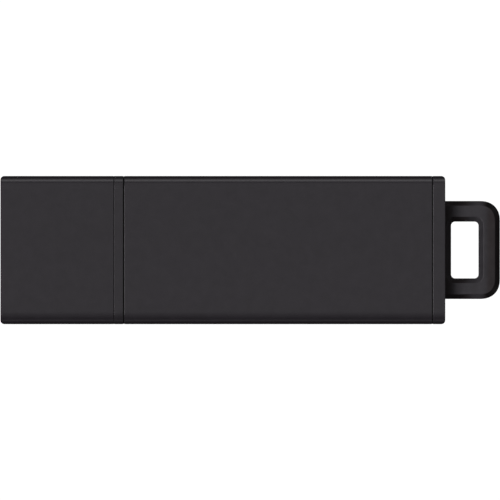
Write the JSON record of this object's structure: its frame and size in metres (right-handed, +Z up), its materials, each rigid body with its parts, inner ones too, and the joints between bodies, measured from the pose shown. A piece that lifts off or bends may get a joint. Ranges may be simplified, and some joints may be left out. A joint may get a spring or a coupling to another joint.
{
  "type": "usb flash drive",
  "caption": "Slim capped USB flash drive: dark anodised rectangular case with a pull-off end cap, a type A plug and a fixed lanyard loop.",
  "frame": {"origin": "centre of the footprint, on the bottom face", "axes": "+X along the length, from the cap towards the lanyard loop; +Z up, out of the broad top face"},
  "size_m": [0.0676, 0.02, 0.009],
  "materials": {
    "anodised_black": "fine satin, dyed near-black",
    "collar_black": "fine moulded matt, matched to the case",
    "gloss_black": "smooth gloss",
    "liner_black": "moulded matt",
    "carrier_black": "moulded matt",
    "plated_steel": "nickel-plated folded sheet",
    "insulator_white": "moulded, slightly warm white",
    "contact_gold": "gold-plated strip",
    "board_green": "solder mask over glass laminate",
    "chip_epoxy": "fine-grained moulding compound",
    "can_steel": "drawn metal can",
    "capacitor_tan": "fired ceramic with tinned ends",
    "resistor_black": "glassed film with tinned ends",
    "ferrite_grey": "sintered ferrite with tinned ends",
    "fuse_green": "polymer laminate with tinned ends"
  },
  "bodies": {
    "drive": {"outer_sleeve": "anodised_black", "front_collar": "collar_black", "rear_end_plate": "collar_black", "lanyard_loop": "gloss_black", "carrier_lower": "carrier_black", "carrier_upper": "carrier_black", "usb_plug_shell": "plated_steel", "contact_insulator": "insulator_white", "contact_vbus": "contact_gold", "contact_data_minus": "contact_gold", "contact_data_plus": "contact_gold", "contact_ground": "contact_gold", "circuit_board": "board_green", "flash_memory_chip": "chip_epoxy", "controller_chip": "chip_epoxy", "voltage_regulator": "chip_epoxy", "crystal_oscillator": "can_steel", "capacitor_bulk": "capacitor_tan", "capacitor_regulator": "capacitor_tan", "capacitor_crystal_a": "capacitor_tan", "capacitor_crystal_b": "capacitor_tan", "resistor_data_minus": "resistor_black", "resistor_data_plus": "resistor_black", "ferrite_bead": "ferrite_grey", "input_fuse": "fuse_green"},
    "cap": {"cap_shell": "anodised_black", "cap_liner": "liner_black"}
  },
  "joints": [
    {"name": "cap_slide", "type": "slide", "parent": "drive", "child": "cap", "axis": [-1, 0, 0], "range_m": [0, 0.025]}
  ]
}
